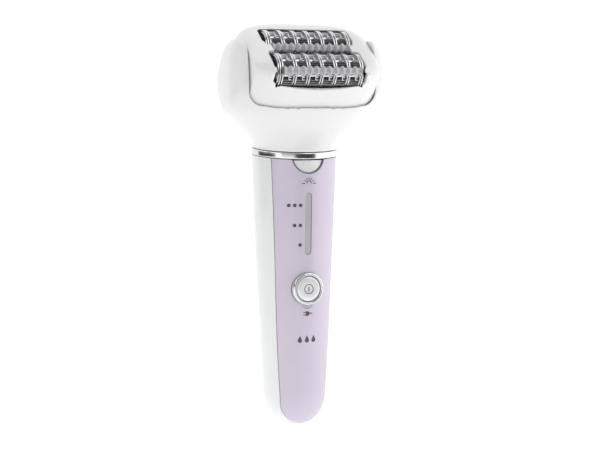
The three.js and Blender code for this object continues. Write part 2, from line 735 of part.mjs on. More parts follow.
// ---- gears ----
// A spur gear along X with straight-flanked teeth; turn is in teeth.
function gearSolid(module, teeth, x, thickness, bore, turn = 0) {
  const pitch = (module * teeth) / 2;
  const tip = pitch + 0.9 * module;
  const root = pitch - 1.2 * module;
  const step = (2 * Math.PI) / teeth;
  const s = new THREE.Shape();
  for (let k = 0; k < teeth; k++)
    for (const [share, r] of [
      [-0.3, root],
      [-0.1, tip],
      [0.1, tip],
      [0.3, root],
    ]) {
      const a = (k + turn + share) * step;
      const px = r * Math.cos(a);
      const py = r * Math.sin(a);
      if (k === 0 && share === -0.3) s.moveTo(px, py);
      else s.lineTo(px, py);
    }
  return extrudedAlongX(s, x, thickness).subtract(rod("x", bore, thickness + 2, x + thickness / 2, 0, 0, 16));
}

// The turn, in teeth, that sets a gear in mesh with another across the line at an angle.
const meshTurn = (turn, teeth, nextTeeth, angle) =>
  ((angle + Math.PI) * nextTeeth) / (2 * Math.PI) + (angle * teeth) / (2 * Math.PI) - turn - 0.5;

// A body that turns about an axis along X through a point of the head.
function turning(y, z) {
  const group = new THREE.Group();
  group.position.set(0, y, z);
  tilted(part).add(group);
  return group;
}
const WHEEL_X = 20.6; // the gears lie in two planes beside the right bearing plate
const WHEEL_THICKNESS = 1.5;
const TRAIN_X = 22.7;
const TRAIN_THICKNESS = 1.7;
for (const [name, y] of ROTORS) {
  const rotor = turning(y, ROTOR_HEIGHT);
  const angle = Math.atan2(ROTOR_HEIGHT - MAIN_Z, y);
  addPiece(rotor, `${name}_rotor`, rotorSolid(), STEEL);
  addPiece(
    rotor,
    `${name}_pinion`,
    gearSolid(
      GEAR_MODULE,
      PINION_TEETH,
      TRAIN_X,
      TRAIN_THICKNESS,
      SHAFT_END_RADIUS + 0.1,
      meshTurn(0, MAIN_TEETH, PINION_TEETH, angle),
    ),
    BRASS,
  );
  addPiece(turning(y, ROTOR_HEIGHT), `${name}_tweezers`, tweezerSolid(), STEEL);
}
addPiece(
  turning(0, MAIN_Z),
  "main_gear",
  gearSolid(GEAR_MODULE, MAIN_TEETH, TRAIN_X, TRAIN_THICKNESS, 0.87),
  NYLON,
);
addPiece(
  turning(0, FEED_Z),
  "reduction_gear",
  gearSolid(WHEEL_MODULE, WHEEL_TEETH, WHEEL_X, WHEEL_THICKNESS, 0.66).add(
    gearSolid(
      GEAR_MODULE,
      FEED_TEETH,
      WHEEL_X + WHEEL_THICKNESS - 0.1,
      TRAIN_X + TRAIN_THICKNESS - WHEEL_X - WHEEL_THICKNESS + 0.1,
      0.66,
      meshTurn(0, MAIN_TEETH, FEED_TEETH, -Math.PI / 2),
    ),
  ),
  NYLON,
);
addPiece(
  turning(MOTOR_Y, MOTOR_Z),
  "motor_shaft",
  rod("x", 0.75, 5.2, 19.6, 0, 0, 12).add(
    gearSolid(
      WHEEL_MODULE,
      MOTOR_TEETH,
      WHEEL_X,
      WHEEL_THICKNESS,
      0.3,
      meshTurn(0, WHEEL_TEETH, MOTOR_TEETH, MOTOR_ANGLE),
    ),
  ),
  BRASS,
);

export default part;
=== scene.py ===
"""A cordless epilator with a tilting two-rotor head, dressed round its CAD frame, in mm scaled to metres."""
import math
import bmesh
import bpy
from mathutils import Matrix, Vector


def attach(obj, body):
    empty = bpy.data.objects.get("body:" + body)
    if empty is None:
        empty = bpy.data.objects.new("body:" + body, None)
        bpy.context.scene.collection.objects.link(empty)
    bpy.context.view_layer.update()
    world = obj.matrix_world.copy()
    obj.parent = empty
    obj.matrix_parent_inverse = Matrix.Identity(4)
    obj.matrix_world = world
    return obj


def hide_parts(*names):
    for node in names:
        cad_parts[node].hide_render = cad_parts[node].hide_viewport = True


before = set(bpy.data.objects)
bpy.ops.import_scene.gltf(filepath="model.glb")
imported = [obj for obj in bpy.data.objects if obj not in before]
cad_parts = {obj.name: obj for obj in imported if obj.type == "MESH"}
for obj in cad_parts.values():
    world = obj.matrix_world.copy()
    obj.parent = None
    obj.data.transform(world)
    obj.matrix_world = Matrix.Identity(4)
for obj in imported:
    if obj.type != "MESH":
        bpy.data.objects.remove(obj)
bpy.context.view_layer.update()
MM = 0.001

# ---- camera ----
# A long lens at the height of the head, a little to the left of the front and tipped down,
# so that the left arm's side shows and the handle runs away below.
CAMERA_AZIMUTH = math.radians(-23)
CAMERA_DOWN = math.radians(5.623)
CAMERA_X = -213.8
CAMERA_Y = -509.7
CAMERA_Z = 141.93
camera = bpy.data.objects.new("camera", bpy.data.cameras.new("camera"))
bpy.context.scene.collection.objects.link(camera)
camera.data.lens = 78
camera.data.sensor_width = 36
camera.data.clip_start = 0.01
camera.location = Vector((CAMERA_X, CAMERA_Y, CAMERA_Z)) * MM
camera.rotation_euler = (math.pi / 2 - CAMERA_DOWN, 0, CAMERA_AZIMUTH)
bpy.context.scene.camera = camera

# ---- studio ----
# A white sweep of paper that curves up behind the handle, lit by three soft boxes
# and an even white surround.
SWEEP = [(-3.0, 0.0), (1.2, 0.0), (1.7, 0.1), (2.0, 0.45), (2.1, 1.0), (2.1, 3.5)]
sweep_mesh = bpy.data.meshes.new("sweep")
sweep_mesh.from_pydata(
    [(x, y, z) for y, z in SWEEP for x in (-4.0, 4.0)],
    [],
    [(2 * k, 2 * k + 1, 2 * k + 3, 2 * k + 2) for k in range(len(SWEEP) - 1)],
)
sweep = bpy.data.objects.new("sweep", sweep_mesh)
bpy.context.scene.collection.objects.link(sweep)
sweep_mesh.shade_smooth()
paper = bpy.data.materials.new("white_paper")
paper.use_nodes = True
paper.node_tree.nodes["Principled BSDF"].inputs["Base Color"].default_value = (0.5, 0.5, 0.5, 1)
paper.node_tree.nodes["Principled BSDF"].inputs["Roughness"].default_value = 0.9
paper.node_tree.nodes["Principled BSDF"].inputs["Emission Color"].default_value = (1, 1, 1, 1)
paper.node_tree.nodes["Principled BSDF"].inputs["Emission Strength"].default_value = 0.8
sweep_mesh.materials.append(paper)

world = bpy.data.worlds.new("surround")
world.use_nodes = True
world.node_tree.nodes["Background"].inputs["Color"].default_value = (1, 1, 1, 1)
world.node_tree.nodes["Background"].inputs["Strength"].default_value = 0.46
bpy.context.scene.world = world
bpy.context.scene.view_settings.view_transform = "Standard"


def soft_box(name, place, aim, width, height, power):
    lamp = bpy.data.lights.new(name, "AREA")
    lamp.shape = "RECTANGLE"
    lamp.size = width
    lamp.size_y = height
    lamp.energy = power
    box = bpy.data.objects.new(name, lamp)
    box.location = place
    box.rotation_euler = (Vector(aim) - Vector(place)).to_track_quat("-Z", "Y").to_euler()
    bpy.context.scene.collection.objects.link(box)


HEAD_HEIGHT = (0, 0, 0.12)
soft_box("key", (0.45, -0.75, 0.75), HEAD_HEIGHT, 0.6, 0.6, 1.6)
soft_box("fill", (-0.8, -0.5, 0.3), HEAD_HEIGHT, 0.5, 0.8, 0.9)
soft_box("top", (0.0, 0.15, 0.9), HEAD_HEIGHT, 0.7, 0.5, 0.9)

# A grey and a white card beside the view shade the edges of the white plastic; two black ones give
# the chrome its dark bands. The camera sees none of them.
card_grey = bpy.data.materials.new("grey_card")
card_grey.use_nodes = True
card_grey.node_tree.nodes["Principled BSDF"].inputs["Base Color"].default_value = (0.5, 0.5, 0.5, 1)
card_grey.node_tree.nodes["Principled BSDF"].inputs["Roughness"].default_value = 0.95
card_grey.node_tree.nodes["Principled BSDF"].inputs["Emission Color"].default_value = (1, 1, 1, 1)
card_grey.node_tree.nodes["Principled BSDF"].inputs["Emission Strength"].default_value = 0.5
card_white = card_grey.copy()
card_white.name = "white_card"
card_white.node_tree.nodes["Principled BSDF"].inputs["Emission Strength"].default_value = 0.85
card_black = bpy.data.materials.new("black_card")
card_black.use_nodes = True
card_black.node_tree.nodes["Principled BSDF"].inputs["Base Color"].default_value = (0.01, 0.01, 0.01, 1)


def card(name, near, far, low, high, material):
    """An upright card between two (depth, sideways) places as the camera sees them, in metres."""
    corners = []
    for depth, sideways in (near, far):
        x = CAMERA_X * MM - math.sin(CAMERA_AZIMUTH) * depth + math.cos(CAMERA_AZIMUTH) * sideways
        y = CAMERA_Y * MM + math.cos(CAMERA_AZIMUTH) * depth + math.sin(CAMERA_AZIMUTH) * sideways
        corners += [(x, y, low), (x, y, high)]
    mesh = bpy.data.meshes.new(name)
    mesh.from_pydata(corners, [], [(0, 1, 3, 2)])
    mesh.materials.append(material)
    piece = bpy.data.objects.new(name, mesh)
    piece.visible_camera = False
    bpy.context.scene.collection.objects.link(piece)


card("card_left", (0.46, -0.15), (1.05, -0.30), 0.002, 0.42, card_grey)
card("card_right", (0.46, 0.15), (1.05, 0.30), 0.002, 0.42, card_white)
card("card_low_right", (0.12, 0.09), (0.46, 0.30), 0.01, 0.19, card_black)
card("card_low_left", (0.36, -0.14), (0.56, -0.13), 0.078, 0.122, card_black)


# ---- finishes shared by the moulded parts ----
# Every finish is a Principled shader whose colour drifts a little with a noise and whose surface
# carries the fine texture of its mould, brushing or plating.
def finish(name, colour, roughness, metallic=0.0, drift=0.03, grain=900.0, bump=0.02, stretch=(1, 1, 1),
           coat=0.0, rough_drift=0.06):
    material = bpy.data.materials.new(name)
    material.use_nodes = True
    nodes = material.node_tree.nodes
    links = material.node_tree.links
    shader = nodes["Principled BSDF"]
    shader.inputs["Metallic"].default_value = metallic
    shader.inputs["Coat Weight"].default_value = coat
    shader.inputs["Coat Roughness"].default_value = 0.12
    where = nodes.new("ShaderNodeTexCoord")
    place = nodes.new("ShaderNodeMapping")
    place.inputs["Scale"].default_value = stretch
    links.new(where.outputs["Object"], place.inputs["Vector"])
    cloud = nodes.new("ShaderNodeTexNoise")
    cloud.inputs["Scale"].default_value = 45
    cloud.inputs["Detail"].default_value = 4
    links.new(place.outputs["Vector"], cloud.inputs["Vector"])
    tint = nodes.new("ShaderNodeValToRGB")
    tint.color_ramp.elements[0].position = 0.3
    tint.color_ramp.elements[1].position = 0.7
    tint.color_ramp.elements[0].color = [c * (1 - drift) for c in colour] + [1]
    tint.color_ramp.elements[1].color = [min(1, c * (1 + drift)) for c in colour] + [1]
    links.new(cloud.outputs["Fac"], tint.inputs["Fac"])
    links.new(tint.outputs["Color"], shader.inputs["Base Color"])
    fine = nodes.new("ShaderNodeTexNoise")
    fine.inputs["Scale"].default_value = grain
    fine.inputs["Detail"].default_value = 3
    links.new(place.outputs["Vector"], fine.inputs["Vector"])
    polish = nodes.new("ShaderNodeMapRange")
    polish.inputs["To Min"].default_value = max(0.02, roughness - rough_drift)
    polish.inputs["To Max"].default_value = roughness + rough_drift
    links.new(fine.outputs["Fac"], polish.inputs["Value"])
    links.new(polish.outputs["Result"], shader.inputs["Roughness"])
    relief = nodes.new("ShaderNodeBump")
    relief.inputs["Strength"].default_value = bump
    relief.inputs["Distance"].default_value = 0.0002
    links.new(fine.outputs["Fac"], relief.inputs["Height"])
    links.new(relief.outputs["Normal"], shader.inputs["Normal"])
    return material


# A mesh object from points in mm and faces, with its normals out and its edges sharp past an angle.
def built(name, points, faces, material, sharp=35):
    mesh = bpy.data.meshes.new(name)
    mesh.from_pydata([Vector(p) * MM for p in points], [], faces)
    return finished(name, mesh, material, sharp)


def finished(name, mesh, material, sharp=35):
    work = bmesh.new()
    work.from_mesh(mesh)
    bmesh.ops.remove_doubles(work, verts=work.verts, dist=2e-6)
    bmesh.ops.dissolve_degenerate(work, edges=work.edges, dist=1e-6)
    bmesh.ops.recalc_face_normals(work, faces=work.faces)
    work.to_mesh(mesh)
    work.free()
    mesh.shade_smooth()
    mesh.set_sharp_from_angle(angle=math.radians(sharp))
    mesh.materials.clear()
    mesh.materials.append(material)
    piece = bpy.data.objects.new(name, mesh)
    bpy.context.scene.collection.objects.link(piece)
    return piece


# Rows of points joined into a skin; round rows close on themselves, and capped ends are filled.
def skin(rows, closed, capped=False):
    count = len(rows[0])
    points = [p for row in rows for p in row]
    faces = []
    for r in range(len(rows) - 1):
        for c in range(count if closed else count - 1):
            d = (c + 1) % count
            faces.append((r * count + c, r * count + d, (r + 1) * count + d, (r + 1) * count + c))
    if capped:
        faces.append(tuple(range(count)))
        faces.append(tuple(range((len(rows) - 1) * count, len(rows) * count)))
    return points, faces


# A piece with its modifiers applied to a plain mesh.
def settled(piece):
    evaluated = piece.evaluated_get(bpy.context.evaluated_depsgraph_get())
    mesh = bpy.data.meshes.new_from_object(evaluated)
    piece.modifiers.clear()
    piece.data = mesh
    return piece


def cut(piece, cutters, operation="DIFFERENCE"):
    for cutter in cutters:
        step = piece.modifiers.new("cut", "BOOLEAN")
        step.operation = operation
        step.solver = "MANIFOLD"
        step.object = cutter
    bpy.context.view_layer.update()
    settled(piece)
    for cutter in cutters:
        bpy.data.objects.remove(cutter)
    return piece


# A smooth curve through (place, value) pairs.
def along(pairs):
    def value(at):
        if at <= pairs[0][0]:
            return pairs[0][1]
        for k in range(1, len(pairs)):
            x1, v1 = pairs[k]
            if at > x1:
                continue
            x0, v0 = pairs[k - 1]
            before = (v1 - pairs[k - 2][1]) / (x1 - pairs[k - 2][0]) if k > 1 else (v1 - v0) / (x1 - x0)
            after = (v1 - v0) / (x1 - x0)
            if k < len(pairs) - 1:
                after = (pairs[k + 1][1] - v0) / (pairs[k + 1][0] - x0)
            h = x1 - x0
            t = (at - x0) / h
            return (v0 * (1 + 2 * t) * (1 - t) ** 2 + h * before * t * (1 - t) ** 2
                    + v1 * t * t * (3 - 2 * t) - h * after * t * t * (1 - t))
        return pairs[-1][1]
    return value


# ---- rear shell ----
# The pale glossy shell that wraps the back and sides of the handle, one moulding in ABS,
# open at the front where the lilac panel is clipped in and closed in a round end.
HANDLE_TOP = 117.7
RING_TILT = 0.105
DEPTH_SHARE = 0.86
END_DOME = 18.0
END_WIDTH = 14.5
taper = along([(END_DOME, END_WIDTH), (40, 15.6), (80, 17.3), (HANDLE_TOP + 6, 18.8)])
panel_half = along([(14, 10.2), (40, 11.7), (85, 13.3), (HANDLE_TOP, 14.6)])
PANEL_ARCH = 14.0
PANEL_LOW = 3.2
SEAM = 0.12


def handle_half(z):
    if z >= END_DOME:
        return taper(z)
    return END_WIDTH * math.sqrt(max(0.0, 1 - ((END_DOME - z) / (END_DOME + 0.65)) ** 2.15))


def panel_edge(z):
    if z >= PANEL_ARCH:
        return panel_half(z)
    if z <= PANEL_LOW:
        return 0.0
    return panel_half(PANEL_ARCH) * math.sqrt(1 - ((PANEL_ARCH - z) / (PANEL_ARCH - PANEL_LOW)) ** 2)


def on_handle(x, z, back=False):
    half = handle_half(z)
    y = half * DEPTH_SHARE * math.sqrt(max(0.0, 1 - (x / half) ** 2))
    return y if back else -y


def handle_rows(low, high, count):
    return [low + (high - low) * (k / count) ** 2 for k in range(count + 1)]


def tipped(z, y, high):
    """Height of a point near the handle's rim, which follows the ring's tilt."""
    return z + RING_TILT * y * max(0.0, (z - high + 20) / 20) ** 2


gloss_shell = finish("shell_gloss", (0.86, 0.885, 0.87), 0.2, drift=0.008, bump=0.01, coat=0.3)
rows = []
for z in handle_rows(0.0, HANDLE_TOP, 110):
    half = handle_half(z)
    start = math.asin(min(1.0, (panel_edge(z) + SEAM) / half)) if z > PANEL_LOW else 0.0
    row = []
    for k in range(97):
        angle = start + (2 * math.pi - 2 * start) * k / 96
        y = -half * DEPTH_SHARE * math.cos(angle)
        row.append((-half * math.sin(angle), y, tipped(z, y, HANDLE_TOP)))
    rows.append(row)
shell_points, shell_faces = skin(rows, False)
shell_faces.append(tuple(range(97)))
rear_shell = built("rear_shell_skin", shell_points, shell_faces, gloss_shell)
wall = rear_shell.modifiers.new("wall", "SOLIDIFY")
wall.thickness = 1.4 * MM
wall.offset = -1
settled(rear_shell)
SOCKET_Z = 13.0
socket_rows = [[(4.6 * math.cos(a * math.pi / 24), y, SOCKET_Z + 4.6 * math.sin(a * math.pi / 24))
                for a in range(48)] for y in (7.0, 19.0)]
socket_cut = built("socket_cut", *skin(socket_rows, True, True), gloss_shell)
cut(rear_shell, [socket_cut])
edge = rear_shell.modifiers.new("edge", "BEVEL")
edge.width = 0.12 * MM
edge.segments = 2
edge.limit_method = "ANGLE"
edge.angle_limit = math.radians(50)
rear_shell = finished("rear_shell_moulding", settled(rear_shell).data, gloss_shell, 45)
bpy.data.objects.remove(bpy.data.objects["rear_shell_skin"])
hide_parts("rear_shell")
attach(rear_shell, "handle")

# ---- front panel ----
# The satin lilac panel with a pearl finish, a thin moulded shell clipped into the front of the
# handle; it is pierced for the button, the light bar, the lamp window and the charge light.
BUTTON_Z = 62.0
BEZEL_RADIUS = 6.9
LIGHT_BAR_Z = 89.3
LIGHT_BAR_LENGTH = 25.9
LIGHT_BAR_WIDTH = 2.9
LAMP_Z = 117.6
LAMP_RADIUS = 7.4
CHARGE_Z = 55.9

pearl = finish("lilac_pearl", (0.655, 0.585, 0.705), 0.36, drift=0.02, grain=2600, bump=0.03, metallic=0.12,
               coat=0.12)


def panel_patch(name, low, high, lift, half_at, columns, count, material, square_rows=True):
    """A stretch of the panel's own surface, lifted or sunk along the handle's radius."""
    rows = []
    for k in range(count + 1):
        share = (k / count) ** 2 if square_rows else k / count
        z = low + (high - low) * share
        half = handle_half(z)
        row = []
        for c in range(columns + 1):
            x = half_at(z) * (2 * c / columns - 1)
            y = on_handle(x, z)
            length = math.hypot(x, y) or 1
            grow = 1 + lift / length
            row.append((x * grow, y * grow, tipped(z, y, HANDLE_TOP) if high > HANDLE_TOP - 1 else z))
        rows.append(row)
    return built(name, *skin(rows, False), material)


def column(name, outline, y0=-24.0, y1=-1.0):
    """A cutter: an outline in X and Z pushed through the panel along Y."""
    return built(name, *skin([[(x, y, z) for x, z in outline] for y in (y0, y1)], True, True), pearl)


def circle(radius, x, z, count=64, start=0.0, turn=2 * math.pi):
    steps = count if turn >= 2 * math.pi else count - 1
    return [(x + radius * math.cos(start + turn * k / steps), z + radius * math.sin(start + turn * k / steps))
            for k in range(count)]


def pill(width, length, z):
    r = width / 2
    top = circle(r, 0, z + length / 2 - r, 24, 0, math.pi)
    return top + circle(r, 0, z - length / 2 + r, 24, math.pi, math.pi)


def half_round(radius, z, top):
    return [(radius, z + top)] + circle(radius, 0, z, 40, 0, -math.pi) + [(-radius, z + top)]


front_panel = panel_patch("panel_skin", PANEL_LOW + SEAM, HANDLE_TOP, 0.0,
                          lambda z: max(0.02, panel_edge(z) - SEAM), 56, 120, pearl)
wall = front_panel.modifiers.new("wall", "SOLIDIFY")
wall.thickness = 1.3 * MM
wall.offset = -1
settled(front_panel)
cut(front_panel, [
    column("button_hole", circle(BEZEL_RADIUS + 0.12, 0, BUTTON_Z, 72)),
    column("bar_hole", pill(LIGHT_BAR_WIDTH, LIGHT_BAR_LENGTH, LIGHT_BAR_Z)),
    column("lamp_hole", half_round(LAMP_RADIUS, LAMP_Z, 10), -24.0, -9.0),
    column("charge_hole", circle(2.5, 0, CHARGE_Z, 48)),
])
edge = front_panel.modifiers.new("edge", "BEVEL")
edge.width = 0.14 * MM
edge.segments = 2
edge.limit_method = "ANGLE"
edge.angle_limit = math.radians(50)
front_panel = finished("front_panel_moulding", settled(front_panel).data, pearl, 45)
bpy.data.objects.remove(bpy.data.objects["panel_skin"])
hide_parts("front_panel")
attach(front_panel, "handle")

# ---- light bar, lamp window and charge light ----
# Three smoky light guides set in the panel: a long bar that glows with the speed, the half-round
# window of the working light below the chrome ring, and a small half moon under the button.
smoke = finish("smoky_lens", (0.50, 0.49, 0.52), 0.25, drift=0.05, coat=0.5)


def lens(name, outline, sink, node, material, low, high, half_width):
    piece = panel_patch(name + "_skin", low, high, -sink, lambda z: half_width, 24, 60, material, False)
    wall = piece.modifiers.new("wall", "SOLIDIFY")
    wall.thickness = 0.9 * MM
    wall.offset = -1
    settled(piece)
    cut(piece, [column(name + "_outline", outline)], "INTERSECT")
    rounding = piece.modifiers.new("rounding", "BEVEL")
    rounding.width = 0.2 * MM
    rounding.segments = 3
    rounding.limit_method = "ANGLE"
    rounding.angle_limit = math.radians(50)
    mesh = settled(piece).data
    bpy.data.objects.remove(piece)
    piece = finished(name, mesh, material, 50)
    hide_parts(node)
    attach(piece, "handle")
    return piece


lens("speed_light_guide", pill(LIGHT_BAR_WIDTH - 0.25, LIGHT_BAR_LENGTH - 0.25, LIGHT_BAR_Z), 0.3,
     "light_bar", smoke, 75.5, 103.0, 2.4)
lens("charge_light_guide", circle(2.38, 0, CHARGE_Z, 48), 0.1, "charge_lens", smoke, 53.0, 58.6, 3.0)

silver_window = finish("silver_window", (0.76, 0.76, 0.775), 0.28, drift=0.1, coat=0.6, bump=0.01)
window = lens("lamp_window", half_round(LAMP_RADIUS - 0.55, LAMP_Z, 10), 0.75, "lamp_lens",
              silver_window, 109.0, 115.8, 8.0)
# A bevelled rim round the window, the edge of the hole it sits in, coloured dark: painted shade in the
# recess.
recess_shade = finish("window_rim", (0.17, 0.165, 0.18), 0.4, drift=0.06)
rim_rows = []
for reach, sink in ((LAMP_RADIUS - 0.04, 0.22), (LAMP_RADIUS - 0.62, 0.72), (LAMP_RADIUS - 0.62, 1.3),
                    (LAMP_RADIUS - 0.04, 1.3)):
    row = []
    for x, z in circle(reach, 0, LAMP_Z, 56, -0.24, 0.48 - math.pi):
        y = on_handle(x, z)
        shrink = 1 - sink / math.hypot(x, y)
        row.append((x * shrink, y * shrink, z))
    rim_rows.append(row)
rim_rows.append(rim_rows[0])
rim_points, rim_faces = skin(rim_rows, False)
rim_faces += [tuple(56 * r for r in range(4)), tuple(56 * r + 55 for r in range(4))]
window_rim = built("lamp_window_rim", rim_points, rim_faces, recess_shade, 50)
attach(window_rim, "handle")

# ---- chrome neck ring ----
# A bright plated band between handle and neck, tipped a little forward, with softened edges
# and a flat polished face.
NECK_HALF = 18.7
NECK_DEPTH = NECK_HALF * DEPTH_SHARE
RING_LOW = HANDLE_TOP + 0.3
RING_HIGH = RING_LOW + 2.6
chrome = finish("chrome_plate", (0.74, 0.755, 0.76), 0.17, metallic=1.0, drift=0.01, grain=300, bump=0.004,
                rough_drift=0.02)


def oval_row(grow, z, count=160):
    row = []
    for k in range(count):
        angle = 2 * math.pi * k / count
        y = -(NECK_DEPTH + grow) * math.cos(angle)
        row.append((-(NECK_HALF + grow) * math.sin(angle), y, z + RING_TILT * y))
    return row


RING_SECTION = [(-2.2, 0.0), (-0.2, 0.0), (0.0, 0.06), (0.1, 0.25), (0.12, 0.6), (0.12, 1.3), (0.12, 2.0),
                (0.1, 2.35), (0.0, 2.54), (-0.2, 2.6), (-2.2, 2.6)]
ring_rows = [oval_row(grow, RING_LOW + up) for grow, up in RING_SECTION]
neck_ring = built("neck_ring_plated", *skin(ring_rows + ring_rows[:1], True), chrome, 60)
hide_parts("neck_ring")
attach(neck_ring, "handle")

# ---- yoke ----
# The white neck moulding that flares from the ring into a cradle with two broad arms;
# the head tilts between the arms on two pins. Glossy ABS with soft moulded edges.
PIVOT_Y = -9.9
PIVOT_Z = 149.4
ARM_INNER = 28.2
YOKE_LOW = RING_HIGH + 0.3
YOKE_TOP = 165.3
BARREL_RADIUS = 16.9
CAP_REACH = 31.0
yoke_half = along([(119, NECK_HALF), (122, 19.6), (125, 22.1), (129.5, 27), (134.8, 31.8), (139.8, 34),
                   (150, 35.2), (158, 34.5), (162.5, 32.9), (YOKE_TOP, 31)])
yoke_middle = along([(119, 0), (128, -1.9), (138, -6), (150, -7.6), (158, -9), (YOKE_TOP, -9.3)])
yoke_depth = along([(119, NECK_DEPTH), (128, 15.7), (138, 17.05), (150, 15.05), (158, 12.4), (163, 10.8),
                    (YOKE_TOP, 8.0)])
yoke_power = along([(119, 2), (128, 2.3), (138, 2.8), (146, 3.8), (YOKE_TOP, 3.6)])


def super_radius(c, s, half_width, half_depth, power):
    return (abs(c / half_width) ** power + abs(s / half_depth) ** power) ** (-1 / power)


def yoke_rows(inset, low, high, count, around):
    rows = []
    for r in range(count + 1):
        z = low + (high - low) * r / count
        row = []
        for k in range(around):
            angle = 2 * math.pi * k / around
            s, c = math.sin(angle), -math.cos(angle)
            radius = super_radius(s, c, yoke_half(z) - inset, yoke_depth(z) - inset, yoke_power(z))
            y = radius * c
            row.append((-radius * s, yoke_middle(z) + y, z + (RING_TILT * y if r == 0 else 0)))
        rows.append(row)
    return rows


def barrel_share(x):
    return (1 - (abs(x) / CAP_REACH) ** 3.2) ** (1 / 3.2)


def face_share(x):
    return (1 - (abs(x) / CAP_REACH) ** 6) ** (1 / 6)


def barrel_rows(grow, half_length, count, around):
    rows = []
    for r in range(count + 1):
        x = half_length * math.sin((r / count - 0.5) * math.pi)
        radius = BARREL_RADIUS * barrel_share(x) + grow
        rows.append([(x, PIVOT_Y + radius * math.cos(2 * math.pi * k / around),
                      PIVOT_Z + radius * math.sin(2 * math.pi * k / around)) for k in range(around)])
    return rows


def cradle_outline(bottom, corner):
    outline = [(ARM_INNER, 190), (-ARM_INNER, 190)]
    outline += circle(corner, -ARM_INNER + corner, bottom + corner + 1, 16, math.pi, math.pi / 2)
    outline += [(0, bottom)]
    outline += circle(corner, ARM_INNER - corner, bottom + corner + 1, 16, 1.5 * math.pi, math.pi / 2)
    return outline


def moulded(piece, voxel, passes, kept):
    """Melts a cut body into one skin, its edges softened as a mould softens them, and thins it."""
    melt = piece.modifiers.new("melt", "REMESH")
    melt.mode = "VOXEL"
    melt.voxel_size = voxel * MM
    soften = piece.modifiers.new("soften", "SMOOTH")
    soften.factor = 0.5
    soften.iterations = passes
    thin = piece.modifiers.new("thin", "DECIMATE")
    thin.ratio = kept
    mesh = settled(piece).data
    name = piece.name
    piece.name = name + "_rough"
    made = finished(name, mesh, mesh.materials[0], 180)
    bpy.data.objects.remove(piece)
    return made


white_gloss = finish("white_gloss", (0.88, 0.88, 0.885), 0.22, drift=0.006, bump=0.008, coat=0.25)
yoke = built("yoke_moulding", *skin(yoke_rows(0, YOKE_LOW, YOKE_TOP, 70, 144), True, True), white_gloss)
pin_hole = [[(x, PIVOT_Y + 2.5 * math.cos(k * math.pi / 24), PIVOT_Z + 2.5 * math.sin(k * math.pi / 24))
             for k in range(48)] for x in (-31.5, 31.5)]
cut(yoke, [
    built("cradle", *skin(barrel_rows(0.6, ARM_INNER, 40, 96), True, True), white_gloss),
    column("front_gap", cradle_outline(137.4, 6.0), -60, PIVOT_Y),
    column("rear_gap", cradle_outline(148.2, 4.0), PIVOT_Y - 1, 60),
    built("neck_hollow", *skin(yoke_rows(5, YOKE_LOW - 2, 127, 12, 96), True, True), white_gloss),
    built("pin_hole", *skin(pin_hole, True, True), white_gloss),
])
yoke = moulded(yoke, 0.3, 8, 0.45)
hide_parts("yoke")
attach(yoke, "handle")

# ---- head cap ----
# The white frame over the rotors: a rounded block with two windows and a lower slot, whose
# prongs reach in from each side to hold the guard bars. One glossy moulding.
CAP_HALF = 27.6
FACE_HEIGHT = 15.5
FRONT_REACH = 16.5
REAR_REACH = 22.2
BARREL_BLEND = 0.31
HEAD_LEAN = 0.6435
HEAD_SPLIT = -10.8
ROTOR_SPREAD = 8.0
ROTOR_HEIGHT = 9.7
DISC_RADIUS = 7.3
head_place = Matrix.Translation(Vector((0, PIVOT_Y, PIVOT_Z)) * MM) @ Matrix.Rotation(HEAD_LEAN, 4, "X")


def head_rows(inset, count, around):
    rows = []
    for r in range(count + 1):
        across = math.sin((r / count - 0.5) * math.pi)
        x = (CAP_HALF - inset) * across
        row = []
        for k in range(around):
            angle = 2 * math.pi * k / around
            y, z = math.sin(angle), math.cos(angle)
            reach = (FRONT_REACH if y < 0 else REAR_REACH) * barrel_share(x)
            radius = super_radius(y, max(0.0, z), reach, FACE_HEIGHT * face_share(x), 6)
            if z < 0:
                side = min(reach / max(abs(y), 0.01), 25)
                t = min(1.0, math.asin(-z) / BARREL_BLEND)
                t = t * t * (3 - 2 * t)
                radius = side + (BARREL_RADIUS * barrel_share(x) - side) * t
            row.append((x, (radius - inset) * y, (radius - inset) * z))
        rows.append(row)
    return rows


def block(name, half, y0, y1, z0, z1, corner=0.8):
    """A cutter with rounded upright corners, in the head's own frame."""
    outline = []
    for cx, cy, start in ((half - corner, y1 - corner, 0), (-half + corner, y1 - corner, 90),
                          (-half + corner, y0 + corner, 180), (half - corner, y0 + corner, 270)):
        outline += circle(corner, cx, cy, 8, math.radians(start), math.pi / 2)
    return built(name, *skin([[(x, y, z) for x, y in outline] for z in (z0, z1)], True, True), white_gloss)


def lying(name, radius, half_length, y, z, around=64):
    turns = [2 * math.pi * k / around for k in range(around)]
    rows = [[(x, y + radius * math.cos(turn), z + radius * math.sin(turn)) for turn in turns]
            for x in (-half_length, half_length)]
    return built(name, *skin(rows, True, True), white_gloss)


slot_outline = [(21.1, 13.0), (-21.1, 13.0)] + circle(2.5, -18.6, 10.8, 14, math.pi, 0.4 * math.pi)
slot_outline += [(x, 8.42 - 1.9 * (1 - (x / 19.4) ** 2)) for x in [-16 + 2 * k for k in range(17)]]
slot_outline += circle(2.5, 18.6, 10.8, 14, 1.6 * math.pi, 0.4 * math.pi)


def head_shell(name):
    shell = built(name, *skin(head_rows(0, 56, 128), True, True), white_gloss)
    return cut(shell, [built("hollow", *skin(head_rows(1.8, 40, 96), True, True), white_gloss)])


